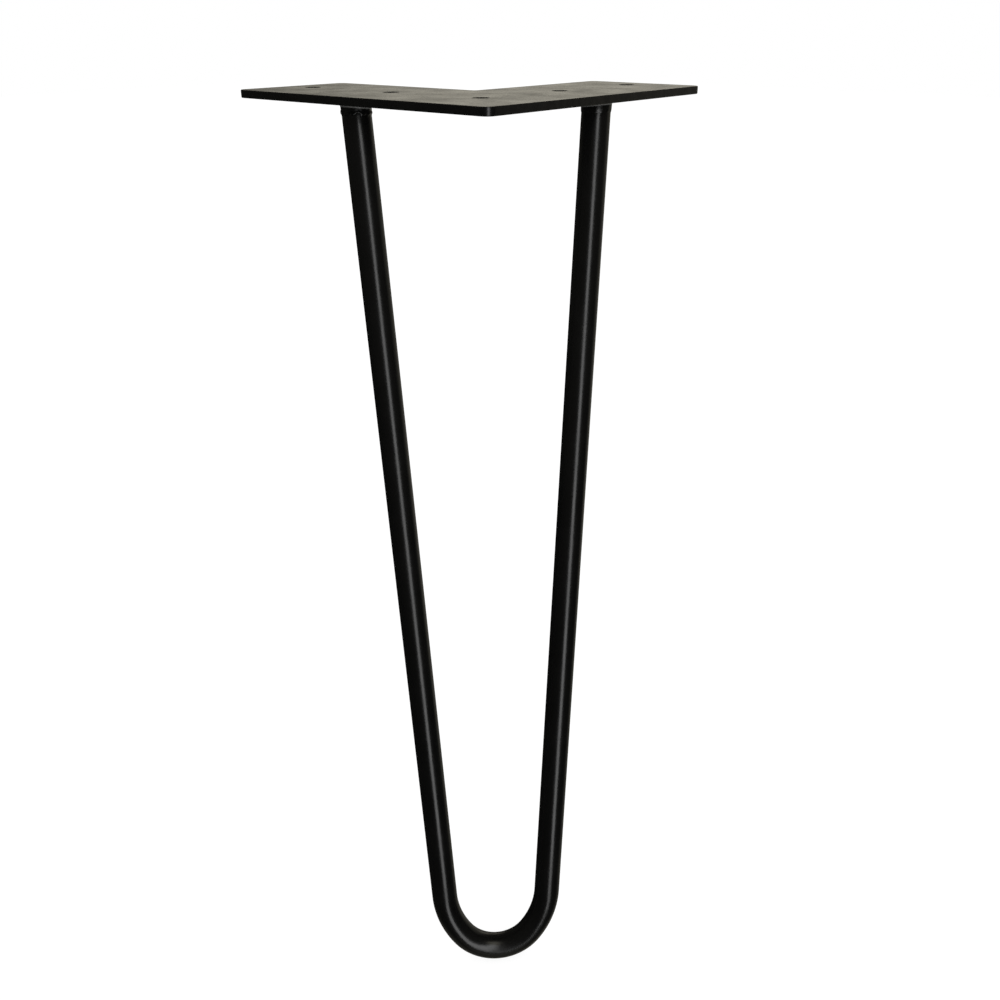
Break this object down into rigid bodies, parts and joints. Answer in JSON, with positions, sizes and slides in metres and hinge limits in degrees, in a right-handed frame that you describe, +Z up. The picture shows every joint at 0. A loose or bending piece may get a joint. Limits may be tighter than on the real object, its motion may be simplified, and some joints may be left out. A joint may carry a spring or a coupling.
{
  "type": "hairpin table leg",
  "caption": "Black powder-coated steel hairpin table leg: a round bar bent into a leaning V, welded under an L-shaped screw plate.",
  "frame": {"origin": "centre of the corner screw hole, on the plate's top face", "axes": "+Z up out of the plate's top face towards the tabletop, +X and +Y along the plate's two arms"},
  "size_m": [0.1792, 0.1792, 0.4],
  "materials": {
    "black_powder_coat": "satin, fine-grained powder coat"
  },
  "bodies": {
    "root": {"mounting_plate": "black_powder_coat", "hairpin_rod": "black_powder_coat", "weld_bead_left": "black_powder_coat", "weld_bead_right": "black_powder_coat"}
  },
  "joints": []
}
